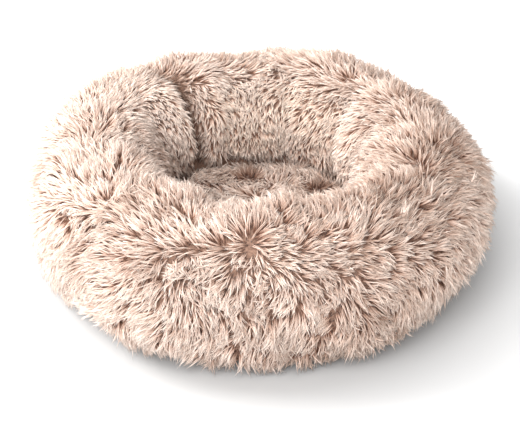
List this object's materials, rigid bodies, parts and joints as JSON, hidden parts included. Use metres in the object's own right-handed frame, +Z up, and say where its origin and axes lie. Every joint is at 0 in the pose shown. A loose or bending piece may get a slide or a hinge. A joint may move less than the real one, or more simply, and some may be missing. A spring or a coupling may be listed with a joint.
{
  "type": "pet cushion bed",
  "caption": "Round pet cushion bed with a stuffed long-pile bolster around a sunken crowned cushion, on a non-slip base with a zip.",
  "frame": {"origin": "centre of the underside, on the floor plane that the anti-slip dots stand on", "axes": "+Z up; +Y to the back of the bed as it is seen in use; the zip on the underside runs along X"},
  "size_m": [0.588, 0.588, 0.198],
  "materials": {
    "shag_plush": "long matte pile, cream tips over taupe roots",
    "sewing_thread": "twisted thread",
    "liner_cloth": "non-woven, matte",
    "polyester_fibre": "soft white fibre",
    "base_cloth": "plain-woven, matte",
    "binding_tape": "ribbed tape",
    "grip_rubber": "matte",
    "zip_tape": "twill tape",
    "zip_coil": "satin nylon",
    "zip_metal": "satin nickel",
    "label_satin": "satin, blank"
  },
  "bodies": {
    "bed": {"bolster_cover_front": "shag_plush", "bolster_cover_back": "shag_plush", "cushion_cover": "shag_plush", "cross_seam_left": "sewing_thread", "cross_seam_right": "sewing_thread", "well_seam_thread": "sewing_thread", "base_seam_thread": "sewing_thread", "zip_stitching": "sewing_thread", "bolster_liner": "liner_cloth", "cushion_liner": "liner_cloth", "bolster_fill": "polyester_fibre", "cushion_fill": "polyester_fibre", "base_wadding": "polyester_fibre", "base_panel_back": "base_cloth", "base_panel_front": "base_cloth", "base_binding": "binding_tape", "anti_slip_dots": "grip_rubber", "zip_tape_front": "zip_tape", "zip_tape_back": "zip_tape", "zip_coil_front": "zip_coil", "zip_coil_back": "zip_coil", "zip_top_stops": "zip_metal", "zip_bottom_stop": "zip_metal", "care_label": "label_satin"},
    "zip_slider": {"zip_slider": "zip_metal"},
    "zip_puller": {"zip_puller": "zip_metal"}
  },
  "joints": [
    {"name": "zip_slide", "type": "slide", "parent": "bed", "child": "zip_slider", "axis": [-1, 0, 0], "range_m": [0, 0.33]},
    {"name": "puller_hinge", "type": "hinge", "parent": "zip_slider", "child": "zip_puller", "pos_m": [0.166, 0, 0.0023], "axis": [0, -1, 0], "range_deg": [0, 175]}
  ]
}
